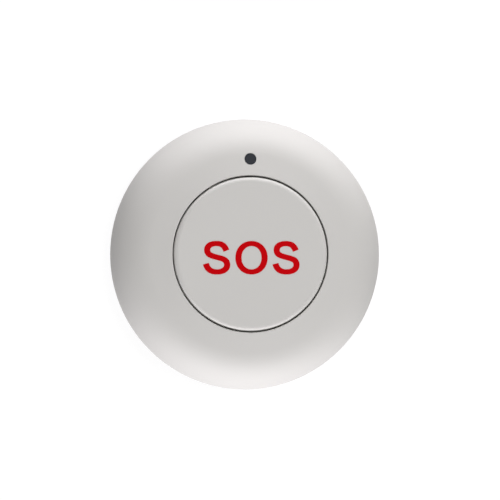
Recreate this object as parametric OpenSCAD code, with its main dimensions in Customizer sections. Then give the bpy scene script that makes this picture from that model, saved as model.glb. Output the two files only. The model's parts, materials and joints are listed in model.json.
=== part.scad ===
// Round wireless call button with a captive push cap in a two-part moulded housing.
// A tact switch and a radio board sit under the cap, and a coin cell behind a bayonet door.
// Lengths are millimetres. +Z is the way the cap faces, and the indicator lies towards +Y.

/* [Housing] */
// Diameter at the widest line
body_d = 60; // [59:0.5:64]
// Height from the back face to the crown's edge at the well
body_h = 17; // [16.8:0.1:18.5]
// Height of the widest line above the back face
waist_h = 5.6; // [5.3:0.1:6.4]
// Slope of the crown from the well out to the shoulder, in degrees
crown_slope = 12; // [8:0.5:14]
// Diameter of the flat back face
base_d = 54; // [53:0.25:55]
// Wall thickness of both shells
wall = 2; // [1.6:0.1:2.2]
// Thickness of the back floor
floor_t = 1.6; // [1.3:0.1:1.9]
// Height of the line where the shells meet
split_h = 5; // [4.6:0.1:5.3]
// Height of the locating lip above that line
lip_h = 1.2; // [0.8:0.1:1.4]
// Thickness of the locating lip
lip_t = 1; // [0.8:0.1:1.2]
// Gap between the lip and the front shell
lip_gap = 0.3; // [0.2:0.05:0.4]
// Thickness of the stiffening ribs inside both shells
rib_t = 1; // [0.8:0.1:1.2]

/* [Push cap] */
// Diameter of the push cap
cap_d = 33.6; // [32.4:0.1:34.2]
// Gap between the cap and its well
cap_gap = 0.25; // [0.2:0.05:0.4]
// Thickness of the cap's face
cap_t = 1.8; // [1.5:0.1:2]
// Height of the cap's face above the crown's edge
cap_proud = 0.3; // [0:0.05:0.4]
// Rounding of the cap's rim
cap_round = 1.1; // [0.5:0.05:1.2]
// Thickness of the cap's skirt
skirt_t = 1.2; // [1:0.1:1.4]
// Step from the cap's rim in to its skirt
skirt_step = 0.2; // [0.1:0.05:0.3]
// Running gap between the skirt's guide ribs and the well
guide_gap = 0.1; // [0.05:0.01:0.15]
// Width of one guide rib
guide_w = 1.2; // [0.8:0.1:1.6]
// Width of one snap claw
claw_w = 5; // [4:0.25:6]
// How far a claw reaches under its catch
claw_bite = 0.7; // [0.5:0.05:0.9]
// Height of a claw's hook
claw_h = 1.4; // [1.2:0.1:1.6]
// Depth of the claw's catch below the cap's face
claw_drop = 2.4; // [2.2:0.1:2.6]
// Width of the slit on each side of a claw
slit_w = 0.8; // [0.6:0.1:1]
// Diameter of the cap's centre post
post_d = 5; // [4.4:0.1:5.4]
// Free travel before the post meets the switch
press_gap = 0.7; // [0.5:0.05:0.8]

/* [Well and hub] */
// Wall of the well around the cap
well_wall = 1.4; // [1.2:0.1:1.6]
// Floor of the well
well_floor_t = 1.2; // [1:0.1:1.3]
// Rounding of the well's upper edge
well_edge = 0.15; // [0.1:0.05:0.35]
// Room for parts between the board and the well floor
part_room = 1.6; // [1.4:0.1:1.7]
// Wall of the hub over the switch
hub_wall = 1.2; // [1:0.1:1.4]
// Gap around the switch inside the hub
hub_gap = 0.4; // [0.3:0.05:0.6]
// Running gap between the post and its bush
post_fit = 0.08; // [0.05:0.01:0.1]

/* [Return spring] */
// Diameter of the spring wire
wire_d = 0.6; // [0.5:0.05:0.7]
// Number of turns
spring_turns = 4; // [3:1:5]
// Gap between the spring and what holds it sideways
spring_gap = 0.4; // [0.3:0.05:0.5]

/* [Indicator] */
// Diameter of the indicator window
window_d = 2.5; // [2:0.1:3]
// Distance from the well wall out to the window's centre
window_out = 2.25; // [2.1:0.05:2.6]
// Gap around the window in its bore
window_gap = 0.05; // [0.03:0.01:0.08]
// Depth of the window's face below the crown
window_recess = 0.06; // [0.04:0.01:0.1]
// Depth of the window's seat below the crown's edge
window_seat_d = 6; // [5:0.25:6.5]
// Height of the window's flange
window_flange_h = 0.8; // [0.6:0.1:1]
// Gap between the window and the lamp below it
window_lamp_gap = 0.3; // [0.2:0.05:0.4]

/* [Board and switch] */
// Thickness of the circuit board
board_t = 1; // [0.8:0.1:1.2]
// Gap between the board and the inside of the wall
board_gap = 2.4; // [2.2:0.1:3]
// Width of the square switch
switch_w = 6; // [5.8:0.05:6.2]
// Height of the switch's body
switch_body_h = 3.5; // [3.3:0.1:3.6]
// Height of the switch to the top of its plunger
switch_h = 5; // [4.8:0.1:5.2]
// Travel of the switch's plunger
switch_travel = 0.3; // [0.2:0.05:0.35]
// Diameter of the switch's plunger
plunger_d = 3.5; // [3.2:0.1:3.6]
// Thickness of the switch's metal cover
cover_t = 0.3; // [0.2:0.05:0.35]
// Height of the indicator lamp
lamp_h = 0.8; // [0.6:0.1:1]

/* [Fixings] */
// Distance from the board's edge in to the screws
screw_in = 1.8; // [1.6:0.1:2]
// Diameter of the screw shank
screw_d = 2; // [1.8:0.1:2.2]
// Length of the screw below its head
screw_len = 8; // [6:0.5:8]
// Diameter of the screw head
head_d = 3.6; // [3.4:0.1:3.8]
// Height of the screw head
head_h = 1.4; // [1.2:0.1:1.6]
// Height of the screw's seat above the back face
screw_seat = 2.4; // [2.2:0.1:2.8]
// Diameter of the boss pin that passes the board
pin_d = 4.6; // [4.4:0.1:4.8]
// Diameter of the boss shoulder that holds the board
boss_d = 6.8; // [6.4:0.1:7]
// Depth of the boss pin in its socket
pin_depth = 1.2; // [0.8:0.1:1.4]

/* [Coin cell and door] */
// Diameter of the coin cell
cell_d = 20; // [19.6:0.1:20.4]
// Height of the coin cell
cell_h = 3.2; // [3:0.1:3.4]
// Gap between the cell and what surrounds it
cell_gap = 0.3; // [0.2:0.05:0.4]
// Room for the contacts between the cell and the board
contact_room = 1.5; // [1.4:0.1:1.7]
// Thickness of the contact strip
strip_t = 0.3; // [0.2:0.05:0.35]
// Depth of the door's face in from the back face
door_inset = 0.2; // [0.1:0.05:0.3]
// Thickness of the door's face
door_t = 1.2; // [1.1:0.05:1.3]
// Thickness of the door's flange
flange_t = 1; // [0.9:0.05:1]
// Wall of the door's inner ring
ring_t = 1; // [0.8:0.1:1.2]
// Thickness of the ledge that the lugs lock on
ledge_t = 0.8; // [0.7:0.05:0.9]
// Thickness of a lug
lug_t = 0.8; // [0.7:0.05:0.9]
// How far a lug reaches out
lug_reach = 1.1; // [0.9:0.1:1.3]
// Angle that one lug covers
lug_angle = 24; // [18:1:28]
// Angle that the door turns to unlock
door_turn = 40; // [36:1:44]
// Gap between the door and the housing
door_gap = 0.15; // [0.1:0.05:0.2]
// Width of the coin slot
slot_w = 2; // [1.8:0.1:2.4]
// Length of the coin slot
slot_l = 15; // [12:0.5:17]
// Depth of the coin slot
slot_depth = 0.7; // [0.5:0.05:0.8]

/* [Radio parts] */
// Width of the square radio chip
chip_w = 5; // [4:0.5:6]
// Height of the radio chip
chip_h = 0.9; // [0.8:0.05:1]
// Diameter of the antenna wire
antenna_wire_d = 0.7; // [0.6:0.05:0.8]
// Outside diameter of the antenna coil
antenna_d = 4; // [3.6:0.1:4.2]
// Length of the antenna coil
antenna_l = 13; // [11:0.5:14]
// Number of turns of the antenna
antenna_turns = 8; // [6:1:9]

/* [Hidden] */
$fn = 96;

shell_color = [0.79, 0.78, 0.76];
black_plastic = [0.10, 0.10, 0.11];
metal_color = [0.76, 0.75, 0.72];

// Overlap that merges two shapes of one piece, and overshoot of a cut past a face
merge = 0.3;
past = 1;
// Small gap that keeps curved or moving faces apart
hair = 0.05;

// Well opening in the crown
cap_r = cap_d / 2;
well_r = cap_r + cap_gap;
well_out_r = well_r + well_wall;

// Housing outline: a sloping crown, a round shoulder that it runs into without a kink, and
// a flank that starts upright at the widest line
body_r = body_d / 2;
crown_fall = (body_r - well_r) * tan(crown_slope);
shoulder_r = (body_h - waist_h - crown_fall) * cos(crown_slope) / (1 - sin(crown_slope));
shoulder_x = body_r - shoulder_r;
base_r = base_d / 2;
tuck = body_r - base_r;
flank_r = (tuck * tuck + waist_h * waist_h) / (2 * tuck);
flank_x = body_r - flank_r;
inner_r = body_r - wall;
lip_r = inner_r - lip_gap;
skin = wall / 4;

// Heights, stacked from the door up to the cap
cell_z = door_inset + door_t + hair;
board_z = cell_z + cell_h + contact_room;
board_top = board_z + board_t;
well_floor_z = board_top + part_room;
well_floor_top = well_floor_z + well_floor_t;
switch_top = board_top + switch_h;
post_end = switch_top + press_gap;
travel = press_gap + switch_travel;
cap_top = body_h + cap_proud;
cap_under = cap_top - cap_t;
stop_clear = 0.2;
skirt_end = well_floor_top + travel + stop_clear;

// Cap and well
skirt_r = cap_r - skirt_step;
guide_r = well_r - guide_gap;
claw_r = well_r + claw_bite;
claw_top = cap_under - claw_drop;
claw_low = claw_top - claw_h;
claw_clear = 0.1;
catch_z = claw_top + claw_clear;
window_low = claw_low - travel - stop_clear;
claw_side = 0.5;
cap_rib_h = 1;
cap_ribs = 6;

// Hub and bush over the switch
post_r = post_d / 2;
bush_r = post_r + post_fit;
bush_wall = 1;
bush_top = cap_under - travel - stop_clear;
hub_in_r = switch_w * sqrt(2) / 2 + hub_gap;
hub_out_r = hub_in_r + hub_wall;
hub_ceiling = board_top + switch_body_h + hub_gap;
hub_top_t = 1;

// Spring
wire_r = wire_d / 2;
spring_r = hub_out_r + spring_gap + wire_r;
spring_ring_r = spring_r + wire_r + spring_gap;
spring_ring_t = 0.9;
spring_steps = 24;
wire_sides = 8;
closed_turns = 0.75;

// Indicator
window_r = window_d / 2;
window_bore_r = window_r + window_gap;
window_y = well_out_r + window_out;
window_boss_t = 1;
window_boss_r = window_bore_r + window_boss_t;
window_seat_z = body_h - window_seat_d;
window_flange_out = 0.7;
window_flange_r = window_r + window_flange_out;
lamp_l = 2;
lamp_w = 1.25;

// Board and screws
board_r = inner_r - board_gap;
screw_x = board_r - screw_in;
screw_angles = [30:120:270];
pin_r = pin_d / 2;
pin_fit = 0.1;
boss_r = boss_d / 2;
pin_end = board_z - pin_depth;
notch_gap = 0.25;
notch_r = pin_r + notch_gap;
screw_r = screw_d / 2;
screw_fit = 0.05;
screw_hole_gap = 0.2;
screw_hole_r = screw_r + screw_hole_gap;
head_r = head_d / 2;
head_fit = 0.25;
pilot_end = screw_seat + screw_len + stop_clear;
rib_angles = [0:60:300];
rib_drop = 4.5;
floor_rib_h = 1.2;

// Cell and door
cell_r = cell_d / 2;
ring_in_r = cell_r + cell_gap;
ring_r = ring_in_r + ring_t;
opening_r = ring_r + door_gap;
lug_r = ring_r + lug_reach;
lug_notch_r = lug_r + door_gap;
flange_cover = 0.5;
flange_r = lug_notch_r + flange_cover;
flange_hole_r = flange_r + door_gap;
ledge_z = door_inset + flange_t + hair;
ledge_top = ledge_z + ledge_t;
lug_z = ledge_top + hair;
ring_top = lug_z + lug_t;
rim_t = 1.2;
rim_r = flange_hole_r + rim_t;
lug_angles = [90:120:330];
lug_play = 2;
stop_angle = 5;
holder_t = 1;
holder_z = ring_top + stop_clear;
holder_roof_t = 0.6;
peg_r = 0.5;
peg_in = 2;
peg_y = cell_r - peg_in;
contact_w = 4;
contact_side = 0.5;
contact_foot = 2.5;
can_round = 0.4;
can_step = 0.2;
can_face_in = 1.2;

// Sprung leaf under the holder's roof, from its tip to the tail that passes the roof
leaf_tip_x = -6;
leaf_toe = 1.5;
leaf_slope = 3;
tail_in = 3.5;
tail_x = cell_r - tail_in - strip_t;
tail_room = 0.5;

// Switch, in its own parts
switch_wall = 0.42;
switch_floor_t = 1.4;
cavity_r = switch_w / 2 - switch_wall;
cavity_z = board_top + switch_floor_t;
base_top = board_top + switch_body_h - cover_t;
dome_in = 0.2;
dome_r = cavity_r - dome_in;
dome_h = 0.7;
dome_t = 0.12;
plunger_flange_t = 0.9;
cover_tab_w = 2.4;
cover_tab_h = 1.2;
leg_w = 0.7;
leg_t = 0.25;
leg_out = 1.2;
leg_rise = 0.8;
leg_in = 0.75;
leg_y = switch_w / 2 - leg_in;

// Small parts on the board's upper face, and the way the antenna lies
antenna_turn = 330;
part_ring = 12;
small_part_l = 1.6;
small_part_w = 0.8;
resistor_h = 0.45;
capacitor_h = 0.8;
chip_dot_r = 0.3;
chip_dot_depth = 0.1;
chip_dot_in = 0.9;
crystal_l = 3.2;
crystal_w = 2.5;
crystal_base_h = 0.5;
crystal_h = 0.8;
crystal_lid_in = 0.2;
crystal_space = 1.75;
crystal_y = chip_w / 2 + crystal_space + crystal_w / 2;
transistor_x = -3;
transistor_l = 2.9;
transistor_w = 1.3;
transistor_h = 1;
transistor_lift = 0.1;
pin_l = 0.6;
pin_w = 0.4;
pin_h = 0.3;
pin_y = (transistor_w + pin_l) / 2;
pin_pitch = 0.95;

// Screw head's cross recess
recess_w = 0.6;
recess_l = 2;
recess_depth = 0.84;

// The side below the widest line: an arc that starts upright there and ends on the back
// face, or a straight side where the back face is as wide as the widest line
module flank_profile(inset) {
    if (tuck > hair) {
        intersection() {
            translate([flank_x, waist_h]) circle(flank_r - inset);
            square([body_r, waist_h]);
        }
        if (flank_x > 0) square([flank_x, waist_h]);
    } else {
        polygon([[0, 0], [base_r - inset, 0], [body_r - inset, waist_h], [0, waist_h]]);
    }
}

// The crown, flat inside the well and sloping from there to where the shoulder takes over
module crown_profile(inset) {
    edge_x = well_r - inset * tan(crown_slope / 2);
    end_x = shoulder_x + (shoulder_r - inset) * sin(crown_slope);
    end_z = waist_h + (shoulder_r - inset) * cos(crown_slope);
    polygon([[0, waist_h], [0, body_h - inset], [edge_x, body_h - inset], [end_x, end_z], [end_x, waist_h]]);
}

// One closed side of the housing, inset from its outer surface
module housing_profile(inset) {
    crown_profile(inset);
    intersection() {
        translate([shoulder_x, waist_h]) circle(shoulder_r - inset);
        translate([shoulder_x, waist_h]) square(shoulder_r);
    }
    flank_profile(inset);
}

module housing_solid(inset) {
    rotate_extrude() housing_profile(inset);
}

// A piece of a ring between two radii and two heights, centred on the X axis
module sector(r_in, r_out, z_low, z_high, angle) {
    rotate([0, 0, -angle / 2])
        rotate_extrude(angle = angle)
            translate([r_in, z_low]) square([r_out - r_in, z_high - z_low]);
}

module disc(r, z_low, z_high) {
    translate([0, 0, z_low]) cylinder(r = r, h = z_high - z_low);
}

// A flat bar along X, centred on Y
module bar(x_low, x_high, width, z_low, z_high) {
    translate([x_low, -width / 2, z_low]) cube([x_high - x_low, width, z_high - z_low]);
}

// A small block standing on the board, turned to its place
module chip(x, y, size, turn = 0) {
    translate([x, y, board_top]) rotate([0, 0, turn])
        translate([-size[0] / 2, -size[1] / 2, 0]) cube(size);
}

// Points and skin of a round wire swept along a path
function unit(v) = v / norm(v);
function tangent(path, i) = unit(path[min(i + 1, len(path) - 1)] - path[max(i - 1, 0)]);
function wire_ring(path, i, radius, axis) =
    let (t = tangent(path, i), n = unit(cross(t, axis)), b = cross(t, n))
        [for (k = [0:wire_sides - 1]) let (a = 360 * k / wire_sides)
            path[i] + radius * (cos(a) * n + sin(a) * b)];
function wire_quad(i, k) = let (low = i * wire_sides, high = low + wire_sides, next = (k + 1) % wire_sides)
    [[low + k, high + next, low + next], [low + k, high + k, high + next]];

module wire(path, radius, axis) {
    last = (len(path) - 1) * wire_sides;
    skin_points = [for (i = [0:len(path) - 1]) each wire_ring(path, i, radius, axis)];
    skin_faces = [for (i = [0:len(path) - 2]) for (k = [0:wire_sides - 1]) each wire_quad(i, k)];
    first_end = [for (k = [0:wire_sides - 1]) k];
    last_end = [for (k = [wire_sides - 1:-1:0]) last + k];
    polyhedron(points = skin_points, faces = concat([first_end], skin_faces, [last_end]));
}

// What the rounding of the well's upper edge takes off
module well_rounding() {
    centre = [well_r + well_edge, body_h - well_edge * (1 + sin(crown_slope)) / cos(crown_slope)];
    end = centre + well_edge * [sin(crown_slope), cos(crown_slope)];
    over = body_h + past;
    difference() {
        polygon([[well_r - past, centre[1]], centre, end, [end[0], over], [well_r - past, over]]);
        translate(centre) circle(well_edge);
    }
}

// Front shell: sloping crown, well with catch windows, hub, bosses and ribs
module front_section() {
    difference() {
        union() {
            difference() {
                housing_profile(0);
                housing_profile(wall);
            }
            translate([well_r, well_floor_z]) square([well_wall, body_h - skin - well_floor_z]);
            translate([hub_in_r, well_floor_z]) square([well_r + merge - hub_in_r, well_floor_t]);
        }
        translate([0, -past]) square([body_r + past, split_h + past]);
        translate([0, well_floor_top]) square([well_r, body_h]);
        well_rounding();
    }
    translate([hub_in_r, well_floor_z]) square([hub_wall, hub_ceiling + hub_top_t - well_floor_z]);
    translate([bush_r, hub_ceiling]) square([hub_out_r - bush_r, hub_top_t]);
    translate([bush_r, hub_ceiling]) square([bush_wall, bush_top - hub_ceiling]);
}

module front_boss() {
    intersection() {
        translate([screw_x, 0, 0]) disc(boss_r, board_top, body_h);
        housing_solid(skin);
    }
    translate([screw_x, 0, 0]) disc(pin_r, pin_end, board_top + merge);
}

module front_shell() {
    color(shell_color)
    difference() {
        union() {
            rotate_extrude() front_section();
            for (a = screw_angles) rotate([0, 0, a]) front_boss();
            intersection() {
                translate([0, window_y, 0]) disc(window_boss_r, window_seat_z, body_h);
                housing_solid(skin);
            }
            intersection() {
                for (a = rib_angles)
                    rotate([0, 0, a]) bar(well_out_r - merge, inner_r, rib_t, body_h - rib_drop, body_h);
                housing_solid(skin);
            }
        }
        translate([0, window_y, 0]) disc(window_bore_r, window_seat_z - past, body_h + past);
        for (a = screw_angles) rotate([0, 0, a]) {
            translate([screw_x, 0, 0]) disc(screw_r + screw_fit, pin_end - past, pilot_end);
            bar(well_r - past, well_out_r + past / 2, claw_w + 2 * claw_side, window_low, catch_z);
        }
    }
}

// Back shell: tucked-in pan with the cell opening, locking ledge, pillars and ribs
module back_section() {
    difference() {
        union() {
            difference() {
                housing_profile(0);
                intersection() {
                    housing_profile(wall);
                    translate([0, floor_t]) square([body_r, body_h]);
                }
            }
            square([rim_r, ledge_top]);
            intersection() {
                translate([lip_r - lip_t, floor_t]) square([lip_t + lip_gap + skin, split_h - floor_t]);
                housing_profile(skin);
            }
        }
        translate([0, split_h]) square([body_r + past, body_h]);
        translate([0, -past]) square([opening_r, body_h]);
        translate([0, -past]) square([flange_hole_r, ledge_z + past]);
    }
    translate([lip_r - lip_t, split_h - merge]) square([lip_t, lip_h + merge]);
}

module back_pillar() {
    intersection() {
        translate([screw_x, 0, 0]) disc(boss_r, floor_t / 2, board_z);
        housing_solid(skin);
    }
}

module door_stop(angle) {
    rotate([0, 0, angle])
        sector(opening_r + door_gap, lug_notch_r + door_gap, ledge_z + merge, ring_top, stop_angle);
}

// The cut that lets one lug of the door past the ledge
module lug_notch() {
    sector(opening_r - past, lug_notch_r, ledge_z - merge, ledge_top + past, lug_angle + lug_play);
}

module back_shell() {
    stop_turn = (lug_angle + stop_angle) / 2 + lug_play;
    color(shell_color)
    difference() {
        union() {
            rotate_extrude() back_section();
            for (a = screw_angles) rotate([0, 0, a]) back_pillar();
            intersection() {
                for (a = rib_angles)
                    rotate([0, 0, a]) bar(rim_r - merge, inner_r, rib_t, floor_t / 2, floor_t + floor_rib_h);
                housing_solid(skin);
            }
            for (a = lug_angles) {
                door_stop(a + stop_turn);
                door_stop(a - door_turn - stop_turn);
            }
        }
        for (a = lug_angles)
            rotate([0, 0, a - door_turn]) lug_notch();
        for (a = screw_angles) rotate([0, 0, a]) translate([screw_x, 0, 0]) {
            disc(head_r + head_fit, -past, screw_seat);
            disc(screw_hole_r, 0, board_z);
            disc(pin_r + pin_fit, pin_end, board_z + past);
        }
    }
}

// Push cap: rounded face, skirt with claws and guide ribs, post and spring ring
module cap_section() {
    translate([0, cap_under]) square([cap_r - cap_round, cap_t]);
    translate([0, cap_under]) square([cap_r, cap_t - cap_round]);
    translate([cap_r - cap_round, cap_top - cap_round]) circle(cap_round);
    translate([skirt_r - skirt_t, skirt_end]) square([skirt_t, cap_under + merge - skirt_end]);
    translate([0, post_end]) square([post_r, cap_under + merge - post_end]);
    translate([spring_ring_r, cap_under - cap_rib_h]) square([spring_ring_t, cap_rib_h + merge]);
}

module claw_hook() {
    hook_x = skirt_r - merge;
    land = 0.3;
    rotate([90, 0, 0])
        translate([0, 0, -claw_w / 2])
            linear_extrude(claw_w)
                polygon([
                    [hook_x, claw_low],
                    [skirt_r, claw_low],
                    [claw_r, claw_top - land],
                    [claw_r, claw_top],
                    [hook_x, claw_top]
                ]);
}

module claw_slits() {
    slit_y = (claw_w + slit_w) / 2;
    for (side = [-1, 1])
        translate([0, side * slit_y, 0])
            bar(skirt_r - skirt_t - past, skirt_r + past, slit_w, skirt_end - past, cap_under - cap_rib_h);
}

module button_cap() {
    color(shell_color) {
        difference() {
            rotate_extrude() cap_section();
            for (a = screw_angles) rotate([0, 0, a]) claw_slits();
        }
        for (a = screw_angles) rotate([0, 0, a]) claw_hook();
        for (i = [0:cap_ribs - 1]) rotate([0, 0, 360 * i / cap_ribs]) {
            bar(skirt_r - merge, guide_r, guide_w, skirt_end, cap_under - merge);
            bar(spring_ring_r + merge, skirt_r - merge, rib_t, cap_under - cap_rib_h, cap_under + merge);
        }
    }
}

// Return spring: closed turns at both ends and open turns between
function spring_rise(turn, height) =
    let (pitch = wire_d + hair, ends = closed_turns * pitch)
    let (open = (height - 2 * ends) / (spring_turns - 2 * closed_turns))
        turn < closed_turns ? turn * pitch
        : turn > spring_turns - closed_turns ? height - (spring_turns - turn) * pitch
        : ends + (turn - closed_turns) * open;

module return_spring() {
    low = well_floor_top + wire_r + hair;
    height = cap_under - wire_r - hair - low;
    path = [for (i = [0:spring_turns * spring_steps])
        let (turn = i / spring_steps)
            [spring_r * cos(360 * turn), spring_r * sin(360 * turn), low + spring_rise(turn, height)]];
    color(metal_color) wire(path, wire_r, [0, 0, 1]);
}

// Indicator window: a smoked light pipe whose face follows the crown
module indicator_window() {
    color([0.17, 0.20, 0.24])
    translate([0, window_y, 0]) {
        intersection() {
            disc(window_r, board_top + lamp_h + window_lamp_gap, body_h);
            translate([0, -window_y, 0]) housing_solid(window_recess);
        }
        disc(window_flange_r, window_seat_z - window_flange_h, window_seat_z);
    }
}

// Housing screws: pan heads with a cross recess, one group of separate solids
module housing_screws() {
    color(metal_color)
    for (a = screw_angles) rotate([0, 0, a]) translate([screw_x, 0, screw_seat])
        difference() {
            union() {
                disc(head_r, -head_h, 0);
                disc(screw_r, -merge, screw_len);
            }
            for (turn = [0, 90])
                rotate([0, 0, turn])
                    bar(-recess_l / 2, recess_l / 2, recess_w, -head_h - past, recess_depth - head_h);
        }
}

// Circuit board, notched round the bosses and drilled for the holder's pegs
module circuit_board() {
    color([0.05, 0.30, 0.16])
    difference() {
        disc(board_r, board_z, board_top);
        for (a = screw_angles) rotate([0, 0, a])
            translate([screw_x, 0, 0]) disc(notch_r, board_z - past, board_top + past);
        for (side = [-1, 1])
            translate([0, side * peg_y, 0]) disc(peg_r + 2 * hair, board_z - past, board_top + past);
    }
}

// Tact switch: base, snap dome, plunger, metal cover and terminals
module switch_base() {
    color(black_plastic)
    difference() {
        chip(0, 0, [switch_w, switch_w, base_top - board_top]);
        disc(cavity_r, cavity_z, base_top + past);
    }
}

module switch_dome() {
    ball_r = (dome_r * dome_r + dome_h * dome_h) / (2 * dome_h);
    color(metal_color)
    rotate_extrude()
        intersection() {
            translate([0, cavity_z + dome_h - ball_r]) difference() {
                circle(ball_r);
                circle(ball_r - dome_t);
            }
            translate([0, cavity_z]) square([dome_r, dome_h]);
        }
}

module switch_plunger() {
    flange_low = cavity_z + dome_h + hair / 2;
    color([0.12, 0.12, 0.13])
    rotate_extrude() {
        translate([0, flange_low]) square([cavity_r - 2 * hair, plunger_flange_t]);
        translate([0, flange_low]) square([plunger_d / 2, switch_top - flange_low]);
    }
}

module switch_cover() {
    tab_x = switch_w / 2;
    color(metal_color)
    difference() {
        union() {
            translate([0, 0, base_top - board_top]) chip(0, 0, [switch_w, switch_w, cover_t]);
            for (side = [0, 180])
                rotate([0, 0, side])
                    bar(tab_x, tab_x + cover_t, cover_tab_w, base_top - cover_tab_h, base_top + cover_t);
        }
        disc(plunger_d / 2 + 2 * hair, base_top - past, base_top + past);
    }
}

module switch_terminals() {
    color(metal_color)
    for (side = [90, 270]) rotate([0, 0, side]) for (y = [-leg_y, leg_y]) translate([0, y, 0]) {
        bar(switch_w / 2, switch_w / 2 + leg_t, leg_w, board_top, board_top + leg_rise);
        bar(switch_w / 2, switch_w / 2 + leg_out, leg_w, board_top, board_top + leg_t);
    }
}

// Lamp, radio chip, crystal, transistor, resistors and capacitors on the board
module status_lamp() {
    color([0.92, 0.90, 0.78])
    chip(0, window_y, [lamp_l, lamp_w, lamp_h]);
}

module radio_chip() {
    color(black_plastic)
    difference() {
        chip(part_ring, 0, [chip_w, chip_w, chip_h]);
        translate([part_ring - chip_w / 2 + chip_dot_in, chip_w / 2 - chip_dot_in, 0])
            disc(chip_dot_r, board_top + chip_h - chip_dot_depth, board_top + chip_h + past);
    }
}

module crystal() {
    lid_l = crystal_l - 2 * crystal_lid_in;
    lid_w = crystal_w - 2 * crystal_lid_in;
    color(metal_color) {
        chip(part_ring, crystal_y, [crystal_l, crystal_w, crystal_base_h]);
        chip(part_ring, crystal_y, [lid_l, lid_w, crystal_h]);
    }
}

module driver_transistor() {
    color(black_plastic)
    translate([0, 0, transistor_lift])
        chip(transistor_x, part_ring, [transistor_l, transistor_w, transistor_h]);
    color(metal_color) {
        chip(transistor_x, part_ring + pin_y, [pin_w, pin_l, pin_h]);
        for (side = [-pin_pitch, pin_pitch])
            chip(transistor_x + side, part_ring - pin_y, [pin_w, pin_l, pin_h]);
    }
}

// Small parts stand on arcs round the switch
module part_row(angles, height) {
    for (a = angles)
        chip(part_ring * cos(a), part_ring * sin(a), [small_part_l, small_part_w, height], a);
}

module resistors() {
    color([0.15, 0.14, 0.14]) part_row([130:13:195], resistor_h);
}

module capacitors() {
    color([0.66, 0.54, 0.40]) part_row([210:13:330], capacitor_h);
}

// Antenna: a coil that lies beside the well, on one straight leg
module antenna() {
    coil_r = (antenna_d - antenna_wire_d) / 2;
    coil_steps = 14;
    coil_z = board_top + antenna_d / 2 + stop_clear;
    leg = [[0, coil_r, board_top - coil_z], [0, coil_r, (board_top - coil_z) / 2]];
    coil = [for (i = [0:antenna_turns * coil_steps])
        let (turn = i / coil_steps)
            [turn * antenna_l / antenna_turns, coil_r * cos(360 * turn), coil_r * sin(360 * turn)]];
    antenna_x = (well_out_r + board_r) / 2;
    color([0.72, 0.45, 0.25])
    rotate([0, 0, antenna_turn])
        translate([antenna_x, -antenna_l / 2, coil_z])
            rotate([0, 0, 90])
                wire(concat(leg, coil), antenna_wire_d / 2, [1, 0, 0]);
}

// Cell holder: a ring under the board with a roof, contact gaps and two pegs
module battery_holder() {
    roof_z = board_z - holder_roof_t;
    gap_w = contact_w + 2 * contact_side;
    color(black_plastic)
    difference() {
        union() {
            rotate_extrude() {
                translate([ring_in_r, holder_z]) square([holder_t, board_z - holder_z]);
                translate([0, roof_z]) square([ring_in_r + merge, holder_roof_t]);
            }
            for (side = [-1, 1])
                translate([0, side * peg_y, 0]) disc(peg_r, board_z - merge, board_top);
        }
        bar(cell_r - past, ring_in_r + holder_t + past, gap_w, holder_z - past, board_z + past);
        bar(tail_x - tail_room, tail_x + strip_t + tail_room, gap_w, roof_z - past, board_z + past);
    }
}

module positive_contact() {
    side_x = cell_r + hair;
    color(metal_color) {
        bar(side_x, side_x + strip_t, contact_w, holder_z, board_z);
        bar(side_x, side_x + contact_foot, contact_w, board_z - strip_t, board_z);
    }
}

module negative_contact() {
    tip_z = cell_z + cell_h + hair;
    flat_z = board_z - holder_roof_t - strip_t;
    toe_x = leaf_tip_x + leaf_toe;
    leaf = [[leaf_tip_x, tip_z], [toe_x, tip_z], [toe_x + leaf_slope, flat_z], [tail_x + strip_t, flat_z]];
    upper = [for (i = [len(leaf) - 1:-1:0]) leaf[i] + [0, strip_t]];
    color(metal_color) {
        rotate([90, 0, 0])
            translate([0, 0, -contact_w / 2])
                linear_extrude(contact_w) polygon(concat(leaf, upper));
        bar(tail_x, tail_x + strip_t, contact_w, flat_z, board_z);
    }
}

// Coin cell: can with a rounded edge and a smaller face towards the board
module coin_cell() {
    can_top = cell_z + cell_h - can_step;
    color([0.80, 0.80, 0.79])
    rotate_extrude() {
        translate([0, cell_z]) square([cell_r - can_round, cell_h - can_step]);
        translate([0, cell_z + can_round]) square([cell_r, can_top - cell_z - can_round]);
        translate([cell_r - can_round, cell_z + can_round]) circle(can_round);
        translate([0, cell_z]) square([cell_r - can_face_in, cell_h]);
    }
}

// Battery door: flanged cup with locking lugs and a coin slot
module battery_door() {
    color(shell_color)
    difference() {
        union() {
            rotate_extrude() {
                translate([0, door_inset]) square([ring_r, door_t]);
                translate([0, door_inset]) square([flange_r, flange_t]);
                translate([ring_in_r, door_inset]) square([ring_t, ring_top - door_inset]);
            }
            for (a = lug_angles)
                rotate([0, 0, a]) sector(ring_r - merge, lug_r, lug_z, ring_top, lug_angle);
        }
        bar(-slot_l / 2, slot_l / 2, slot_w, -past, door_inset + slot_depth);
        for (side = [-1, 1])
            translate([side * slot_l / 2, 0, 0]) disc(slot_w / 2, -past, door_inset + slot_depth);
    }
}

front_shell();
back_shell();
button_cap();
return_spring();
indicator_window();
housing_screws();
circuit_board();
switch_base();
switch_dome();
switch_plunger();
switch_cover();
switch_terminals();
status_lamp();
radio_chip();
crystal();
antenna();
driver_transistor();
resistors();
capacitors();
battery_holder();
positive_contact();
negative_contact();
coin_cell();
battery_door();
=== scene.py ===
# The looks of a round wireless call button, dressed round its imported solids. Lengths are metres.
import json
import math

import bmesh
import bpy
from mathutils import Matrix, Vector


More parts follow.
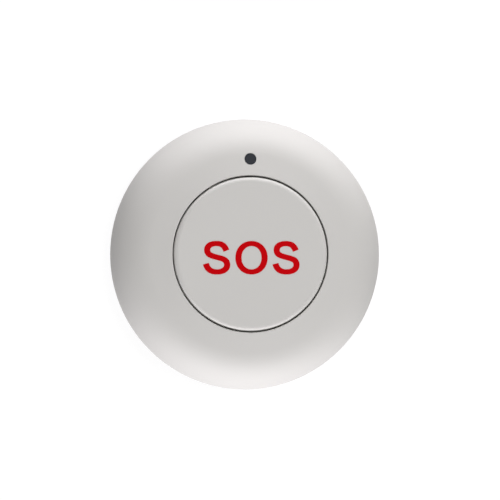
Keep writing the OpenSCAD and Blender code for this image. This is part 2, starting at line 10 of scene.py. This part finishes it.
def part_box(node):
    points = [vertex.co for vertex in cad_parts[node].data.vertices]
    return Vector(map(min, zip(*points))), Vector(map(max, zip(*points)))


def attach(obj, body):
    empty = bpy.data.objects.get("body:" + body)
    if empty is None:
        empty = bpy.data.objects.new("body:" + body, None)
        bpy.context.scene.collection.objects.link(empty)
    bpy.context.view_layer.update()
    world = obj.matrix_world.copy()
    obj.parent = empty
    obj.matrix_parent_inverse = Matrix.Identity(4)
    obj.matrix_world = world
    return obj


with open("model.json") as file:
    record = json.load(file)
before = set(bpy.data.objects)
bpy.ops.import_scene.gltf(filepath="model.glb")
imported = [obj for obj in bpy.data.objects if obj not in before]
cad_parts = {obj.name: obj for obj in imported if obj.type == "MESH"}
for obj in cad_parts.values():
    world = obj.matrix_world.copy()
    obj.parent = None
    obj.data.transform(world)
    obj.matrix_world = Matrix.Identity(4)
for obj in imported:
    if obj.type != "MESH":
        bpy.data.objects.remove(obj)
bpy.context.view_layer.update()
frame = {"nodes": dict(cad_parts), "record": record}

MM = 0.001
CAP_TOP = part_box("button_cap")[1][2]

# Camera: nearly overhead, a little to the left of the cap's axis. The sensor is in Blender's millimetres.
CAMERA_DISTANCE = 450 * MM
CAMERA_LEAN = math.radians(6.4)
CAMERA_NOD = math.radians(-0.6)
VIEW_WIDTH = 108.5 * MM
SENSOR_WIDTH = 36
CLIP_NEAR = 10 * MM
CLIP_FAR = 20
AIM = Vector((-0.20, 0.87, 17)) * MM

# Surfaces: the scales of the broad mottle and the fine grain, how deep the grain is, and the
# middle part of the noise that is spread over each range of tones and roughness
MOTTLE_SCALE = 60
MOTTLE_DETAIL = 3
GRAIN_SCALE = 3000
GRAIN_DETAIL = 2
GRAIN_DEPTH = 0.02 * MM
NOISE_LOW = 0.3
NOISE_HIGH = 0.7

# Legend: the plain distress word on the cap, three letters of one height. Strokes that run up
# and down are wider than those that run flat.
LETTER_HEIGHT = 7.25 * MM
LETTER_WIDTH = 5.5 * MM
ROUND_WIDTH = 7.05 * MM
ROUND_POWER = 2.1
LETTER_PITCH = 7.577 * MM
STROKE_SIDE = 1.35 * MM
STROKE_FLAT = 1.10 * MM
LEGEND_CENTRE = Vector((0.10, -0.81)) * MM
PRINT_HEIGHT = 0.02 * MM
PRINT_SINK = 0.02 * MM
CURVE_STEPS = 24
ROUND_STEPS = 96

# The S, in shares of its half width and half height: the top and the side of its upper bowl, the
# pulls of the curves before and after them and at the middle, where each end is and how it sets
# off, how much wider the lower bowl is, and how much the middle is raised
BOWL_TOP = Vector((-0.02, 1))
BOWL_SIDE = Vector((-1, 0.54))
TOP_PULL_BEFORE = Vector((0.60, 0))
TOP_PULL_AFTER = Vector((-0.62, 0))
SIDE_PULL_BEFORE = Vector((0, 0.26))
SIDE_PULL_AFTER = Vector((0, -0.36))
MIDDLE_PULL = Vector((-0.63, 0.115))
UPPER_END = Vector((1.01, 0.47))
UPPER_PULL = Vector((-0.17, 0.33))
LOWER_END = Vector((1.04, 0.45))
LOWER_PULL = Vector((-0.12, 0.36))
LOWER_BOWL = 1.09
MIDDLE_LIFT = 0.036

# Studio: a pale floor that is seen as white, an even fill, and three softboxes at one distance
FLOOR_REACH = 3.0
FLOOR_GAP = 0.2 * MM
FLOOR_TONE = 0.18
FLOOR_GLOW = 0.88
FILL_LIGHT = 0.19
SIDE_LIGHT = (0.985, 0.96, 1.0)
TOP_LIGHT = (1.0, 0.995, 0.97)
LAMP_DISTANCE = 0.8
SIDE_BOX_HEIGHT = 0.32
TOP_BOX_SIDE = 0.28


def make_camera():
    camera = bpy.data.cameras.new("camera")
    camera.sensor_width = SENSOR_WIDTH
    camera.lens = SENSOR_WIDTH * CAMERA_DISTANCE / VIEW_WIDTH
    camera.clip_start = CLIP_NEAR
    camera.clip_end = CLIP_FAR
    holder = bpy.data.objects.new("camera", camera)
    bpy.context.collection.objects.link(holder)
    back = Vector((
        -math.sin(CAMERA_LEAN) * math.cos(CAMERA_NOD),
        math.sin(CAMERA_NOD),
        math.cos(CAMERA_LEAN) * math.cos(CAMERA_NOD),
    ))
    right = Vector((0, 1, 0)).cross(back).normalized()
    up = back.cross(right)
    holder.location = AIM + back * CAMERA_DISTANCE
    holder.rotation_mode = "QUATERNION"
    holder.rotation_quaternion = Matrix((right, up, back)).transposed().to_quaternion()
    bpy.context.scene.camera = holder


def new_material(name):
    """A node material with its shader, ready for textures."""
    material = bpy.data.materials.new(name)
    material.use_nodes = True
    nodes = material.node_tree.nodes
    nodes.clear()
    shader = nodes.new("ShaderNodeBsdfPrincipled")
    output = nodes.new("ShaderNodeOutputMaterial")
    material.node_tree.links.new(shader.outputs["BSDF"], output.inputs["Surface"])
    return material, shader


def add_noise(material, scale, detail):
    """The factor of a noise texture in the piece's own coordinates."""
    nodes, links = material.node_tree.nodes, material.node_tree.links
    place = nodes.new("ShaderNodeTexCoord")
    noise = nodes.new("ShaderNodeTexNoise")
    noise.inputs["Scale"].default_value = scale
    noise.inputs["Detail"].default_value = detail
    links.new(place.outputs["Object"], noise.inputs["Vector"])
    return noise.outputs["Fac"]


def blend_colours(material, factor, low, high):
    """A colour between two tones, set by the middle part of a noise."""
    nodes, links = material.node_tree.nodes, material.node_tree.links
    ramp = nodes.new("ShaderNodeValToRGB")
    for stop, position, tone in zip(ramp.color_ramp.elements, (NOISE_LOW, NOISE_HIGH), (low, high)):
        stop.position = position
        stop.color = (*tone, 1)
    links.new(factor, ramp.inputs["Fac"])
    return ramp.outputs["Color"]


def map_range(material, factor, low, high):
    """A number between two limits, set by the middle part of a noise."""
    nodes, links = material.node_tree.nodes, material.node_tree.links
    spread = nodes.new("ShaderNodeMapRange")
    spread.inputs["From Min"].default_value = NOISE_LOW
    spread.inputs["From Max"].default_value = NOISE_HIGH
    spread.inputs["To Min"].default_value = low
    spread.inputs["To Max"].default_value = high
    links.new(factor, spread.inputs["Value"])
    return spread.outputs["Result"]


def add_bump(material, factor, strength):
    nodes, links = material.node_tree.nodes, material.node_tree.links
    bump = nodes.new("ShaderNodeBump")
    bump.inputs["Strength"].default_value = strength
    bump.inputs["Distance"].default_value = GRAIN_DEPTH
    links.new(factor, bump.inputs["Height"])
    return bump.outputs["Normal"]


def surface(name, low, high, roughness, metallic=0.0, specular=0.5, bump=0.1):
    """A surface with two near tones, a varied roughness and a fine grain."""
    material, shader = new_material(name)
    links = material.node_tree.links
    broad = add_noise(material, MOTTLE_SCALE, MOTTLE_DETAIL)
    fine = add_noise(material, GRAIN_SCALE, GRAIN_DETAIL)
    links.new(blend_colours(material, broad, low, high), shader.inputs["Base Color"])
    links.new(map_range(material, fine, *roughness), shader.inputs["Roughness"])
    links.new(add_bump(material, fine, bump), shader.inputs["Normal"])
    shader.inputs["Metallic"].default_value = metallic
    shader.inputs["Specular IOR Level"].default_value = specular
    return material


def metal(name, low, high, roughness):
    return surface(name, low, high, roughness, metallic=1.0)


def pearl_plastic():
    return surface("pearl_plastic", (0.598, 0.592, 0.566), (0.606, 0.600, 0.574), (0.62, 0.70), bump=0.04)


def legend_ink():
    return surface(
        "legend_ink", (0.54, 0.0004, 0.0025), (0.58, 0.0008, 0.0035), (0.4, 0.5), specular=0.02, bump=0.05
    )


def smoked_window():
    return surface(
        "smoked_window", (0.005, 0.008, 0.014), (0.008, 0.011, 0.018), (0.14, 0.2), specular=0.4, bump=0.02
    )


def dress_nodes():
    """Gives every carried-over solid the material of its slot."""
    pearl = pearl_plastic()
    steel = metal("steel", (0.55, 0.54, 0.52), (0.66, 0.65, 0.63), (0.25, 0.4))
    by_slot = {
        "shell": pearl,
        "cap": pearl,
        "window": smoked_window(),
        "spring_steel": steel,
        "screw_steel": steel,
        "board": surface("solder_mask", (0.004, 0.07, 0.03), (0.006, 0.09, 0.04), (0.25, 0.4)),
        "black_plastic": surface("black_plastic", (0.010, 0.010, 0.012), (0.02, 0.02, 0.022), (0.45, 0.6)),
        "contact_metal": metal("plated_contact", (0.68, 0.66, 0.60), (0.76, 0.74, 0.69), (0.2, 0.35)),
        "antenna_wire": metal("antenna_wire", (0.60, 0.25, 0.09), (0.70, 0.31, 0.12), (0.25, 0.35)),
        "lamp": surface("lamp_resin", (0.75, 0.70, 0.45), (0.85, 0.80, 0.55), (0.15, 0.25)),
        "resistor_black": surface("resistor_glaze", (0.015, 0.014, 0.014), (0.03, 0.028, 0.028), (0.3, 0.5)),
        "capacitor_brown": surface("capacitor_ceramic", (0.32, 0.21, 0.11), (0.40, 0.28, 0.16), (0.5, 0.7)),
        "cell_steel": steel,
    }
    slot_of = {part["node"]: part["material_slot"] for part in frame["record"]["subparts"]}
    for name, node in frame["nodes"].items():
        node.data.materials.clear()
        node.data.materials.append(by_slot[slot_of[name]])


def bezier(p0, p1, p2, p3):
    """Points along one cubic curve, without its last point."""
    points = []
    for i in range(CURVE_STEPS):
        t = i / CURVE_STEPS
        s = 1 - t
        points.append(p0 * s**3 + p1 * 3 * s * s * t + p2 * 3 * s * t * t + p3 * t**3)
    return points


def half_of_s(end, pull, bowl):
    """From one end of an S to its middle, as for the upper half."""
    half = bezier(end, end + pull, BOWL_TOP + TOP_PULL_BEFORE, BOWL_TOP)
    half += bezier(BOWL_TOP, BOWL_TOP + TOP_PULL_AFTER, BOWL_SIDE + SIDE_PULL_BEFORE, BOWL_SIDE)
    half += bezier(BOWL_SIDE, BOWL_SIDE + SIDE_PULL_AFTER, MIDDLE_PULL, Vector((0, 0)))
    return [Vector((point.x * bowl, point.y)) for point in half]


def letter_s_line():
    """The centreline of an S, from its upper end to its lower end."""
    half_w = (LETTER_WIDTH - STROKE_SIDE) / 2
    half_h = (LETTER_HEIGHT - STROKE_FLAT) / 2
    upper = half_of_s(UPPER_END, UPPER_PULL, 1)
    lower = [-point for point in reversed(half_of_s(LOWER_END, LOWER_PULL, LOWER_BOWL))]
    line = upper + [Vector((0, 0))] + lower
    return [Vector((p.x * half_w, (p.y + MIDDLE_LIFT * (1 - p.y**2)) * half_h)) for p in line]


def stroke_width(direction):
    """The stroke is a little thinner where it runs flat."""
    return STROKE_FLAT + (STROKE_SIDE - STROKE_FLAT) * abs(direction.y)


def print_band(name, left, right, closed):
    """A thin printed band between two edge lines on the cap's face. It moves with the cap."""
    mesh = bpy.data.meshes.new(name)
    shape = bmesh.new()
    low, high = CAP_TOP - PRINT_SINK, CAP_TOP + PRINT_HEIGHT
    rows = []
    for a, b in zip(left, right):
        rows.append([shape.verts.new((*p, z)) for p, z in ((a, low), (b, low), (b, high), (a, high))])
    count = len(rows)
    for i in range(count if closed else count - 1):
        here, after = rows[i], rows[(i + 1) % count]
        for k in range(len(here)):
            beside = (k + 1) % len(here)
            shape.faces.new((here[k], here[beside], after[beside], after[k]))
    if not closed:
        shape.faces.new(rows[0])
        shape.faces.new(reversed(rows[-1]))
    bmesh.ops.recalc_face_normals(shape, faces=shape.faces)
    shape.to_mesh(mesh)
    shape.free()
    piece = bpy.data.objects.new(name, mesh)
    bpy.context.collection.objects.link(piece)
    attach(piece, "button")
    return piece


def letter_s(name, centre):
    line = letter_s_line()
    left, right = [], []
    for i, point in enumerate(line):
        direction = (line[min(i + 1, len(line) - 1)] - line[max(i - 1, 0)]).normalized()
        side = Vector((-direction.y, direction.x)) * stroke_width(direction) / 2
        left.append(centre + point + side)
        right.append(centre + point - side)
    return print_band(name, left, right, closed=False)


def oval_point(angle, half_w, half_h):
    """A point on an oval that is a little fuller than an ellipse."""
    across, along = math.cos(angle), math.sin(angle)
    return Vector((
        half_w * math.copysign(abs(across) ** (2 / ROUND_POWER), across),
        half_h * math.copysign(abs(along) ** (2 / ROUND_POWER), along),
    ))


def letter_o(name, centre):
    outer = (ROUND_WIDTH / 2, LETTER_HEIGHT / 2)
    inner = (outer[0] - STROKE_SIDE, outer[1] - STROKE_FLAT)
    angles = [2 * math.pi * i / ROUND_STEPS for i in range(ROUND_STEPS)]
    rings = [[centre + oval_point(a, w, h) for a in angles] for w, h in (outer, inner)]
    return print_band(name, *rings, closed=True)


def make_legend():
    ink = legend_ink()
    pitch = Vector((LETTER_PITCH, 0))
    letters = [
        letter_s("legend_first", LEGEND_CENTRE - pitch),
        letter_o("legend_middle", LEGEND_CENTRE),
        letter_s("legend_last", LEGEND_CENTRE + pitch),
    ]
    for letter in letters:
        letter.data.materials.append(ink)


def seen_directly(tree):
    """1 for the rays that show the white surroundings, and 0 for those that only carry light."""
    path = tree.nodes.new("ShaderNodeLightPath")
    seen = path.outputs["Is Camera Ray"]
    for ray in ("Is Glossy Ray", "Is Transmission Ray"):
        either = tree.nodes.new("ShaderNodeMath")
        either.operation = "MAXIMUM"
        tree.links.new(seen, either.inputs[0])
        tree.links.new(path.outputs[ray], either.inputs[1])
        seen = either.outputs["Value"]
    return seen


def floor_material():
    """A matt pale floor that keeps the shadow and is lifted to white where it is seen."""
    material = bpy.data.materials.new("floor")
    material.use_nodes = True
    tree = material.node_tree
    tree.nodes.clear()
    matt = tree.nodes.new("ShaderNodeBsdfDiffuse")
    matt.inputs["Color"].default_value = (FLOOR_TONE, FLOOR_TONE, FLOOR_TONE, 1)
    lift = tree.nodes.new("ShaderNodeMath")
    lift.operation = "MULTIPLY"
    lift.inputs[1].default_value = FLOOR_GLOW
    glow = tree.nodes.new("ShaderNodeEmission")
    both = tree.nodes.new("ShaderNodeAddShader")
    output = tree.nodes.new("ShaderNodeOutputMaterial")
    tree.links.new(seen_directly(tree), lift.inputs[0])
    tree.links.new(lift.outputs["Value"], glow.inputs["Strength"])
    tree.links.new(matt.outputs["BSDF"], both.inputs[0])
    tree.links.new(glow.outputs["Emission"], both.inputs[1])
    tree.links.new(both.outputs["Shader"], output.inputs["Surface"])
    return material


def make_floor():
    sides = ((-1, -1), (1, -1), (1, 1), (-1, 1))
    corners = [(x * FLOOR_REACH, y * FLOOR_REACH, -FLOOR_GAP) for x, y in sides]
    mesh = bpy.data.meshes.new("floor")
    mesh.from_pydata(corners, [], [(0, 1, 2, 3)])
    mesh.materials.append(floor_material())
    floor = bpy.data.objects.new("floor", mesh)
    bpy.context.collection.objects.link(floor)


def make_world():
    """White where it is seen or reflected, and a weaker even light on the object."""
    world = bpy.data.worlds.new("studio")
    bpy.context.scene.world = world
    world.use_nodes = True
    tree = world.node_tree
    tree.nodes.clear()
    fill = tree.nodes.new("ShaderNodeBackground")
    fill.inputs["Strength"].default_value = FILL_LIGHT
    white = tree.nodes.new("ShaderNodeBackground")
    for light in (fill, white):
        light.inputs["Color"].default_value = (1, 1, 1, 1)
    mix = tree.nodes.new("ShaderNodeMixShader")
    output = tree.nodes.new("ShaderNodeOutputWorld")
    tree.links.new(seen_directly(tree), mix.inputs["Fac"])
    tree.links.new(fill.outputs["Background"], mix.inputs[1])
    tree.links.new(white.outputs["Background"], mix.inputs[2])
    tree.links.new(mix.outputs["Shader"], output.inputs["Surface"])


def softbox(name, azimuth, elevation, width, height, watts, colour):
    """An area lamp that faces the object. Azimuth 0 is towards +X and 90 towards +Y."""
    lamp = bpy.data.lights.new(name, "AREA")
    lamp.shape = "RECTANGLE"
    lamp.size = width
    lamp.size_y = height
    lamp.energy = watts
    lamp.color = colour
    holder = bpy.data.objects.new(name, lamp)
    bpy.context.collection.objects.link(holder)
    a, e = math.radians(azimuth), math.radians(elevation)
    back = Vector((math.cos(a) * math.cos(e), math.sin(a) * math.cos(e), math.sin(e)))
    holder.location = back * LAMP_DISTANCE
    holder.rotation_mode = "QUATERNION"
    holder.rotation_quaternion = back.to_track_quat("Z", "Y")
    holder.visible_camera = False


def make_lights():
    """Two long softboxes beyond the upper and lower edges, and a small weak one overhead."""
    side = {"height": SIDE_BOX_HEIGHT, "colour": SIDE_LIGHT}
    top = {"width": TOP_BOX_SIDE, "height": TOP_BOX_SIDE, "colour": TOP_LIGHT}
    softbox("upper_softbox", azimuth=82, elevation=15.3, width=1.0, watts=8.7, **side)
    softbox("lower_softbox", azimuth=267, elevation=12, width=0.93, watts=9.1, **side)
    softbox("top_softbox", azimuth=28, elevation=73, watts=1.48, **top)


make_camera()
dress_nodes()
make_legend()
make_floor()
make_world()
make_lights()
bpy.context.scene.view_settings.view_transform = "Standard"
